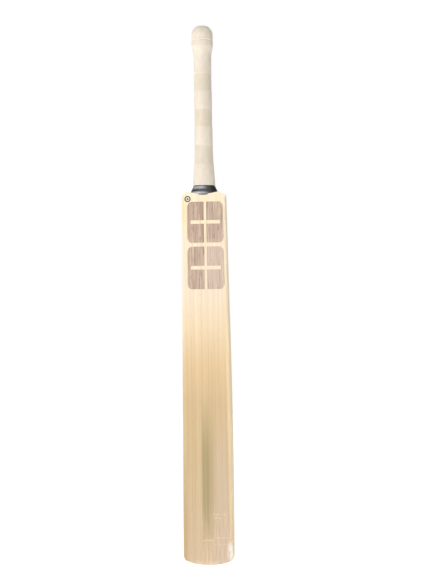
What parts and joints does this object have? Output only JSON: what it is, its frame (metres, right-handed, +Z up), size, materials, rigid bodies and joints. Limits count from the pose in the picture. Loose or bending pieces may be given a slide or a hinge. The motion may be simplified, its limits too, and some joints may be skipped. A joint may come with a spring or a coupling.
{
  "type": "cricket bat",
  "caption": "Full-size cricket bat: willow blade with a ridged back, laminated cane handle spliced in, black shoulder binding and a cream rubber grip.",
  "frame": {"origin": "middle of the toe's flat, directly under the middle of the blade's width, at z = 0", "axes": "+Z up the bat from toe to grip, face towards -Y, ridge towards +Y, +X to the right of someone looking at the face"},
  "size_m": [0.108, 0.0755, 0.86],
  "materials": {
    "willow": "satin, oiled and lightly polished white willow with straight grain",
    "cane": "smooth laminated cane, glued",
    "spring_rubber": "matt vulcanised rubber sheet",
    "handle_twine": "waxed thread, close wound",
    "binding_twine": "glossy lacquered black thread, close wound",
    "grip_rubber": "satin moulded rubber with fine ribbed bands"
  },
  "bodies": {
    "root": {"blade": "willow", "cane_front_left": "cane", "cane_front_centre": "cane", "cane_front_right": "cane", "cane_mid_front_left": "cane", "cane_mid_front_centre": "cane", "cane_mid_front_right": "cane", "cane_mid_back_left": "cane", "cane_mid_back_centre": "cane", "cane_mid_back_right": "cane", "cane_back_left": "cane", "cane_back_centre": "cane", "cane_back_right": "cane", "rubber_spring_front": "spring_rubber", "rubber_spring_centre": "spring_rubber", "rubber_spring_back": "spring_rubber", "handle_twine": "handle_twine", "shoulder_binding": "binding_twine", "grip": "grip_rubber"}
  },
  "joints": []
}
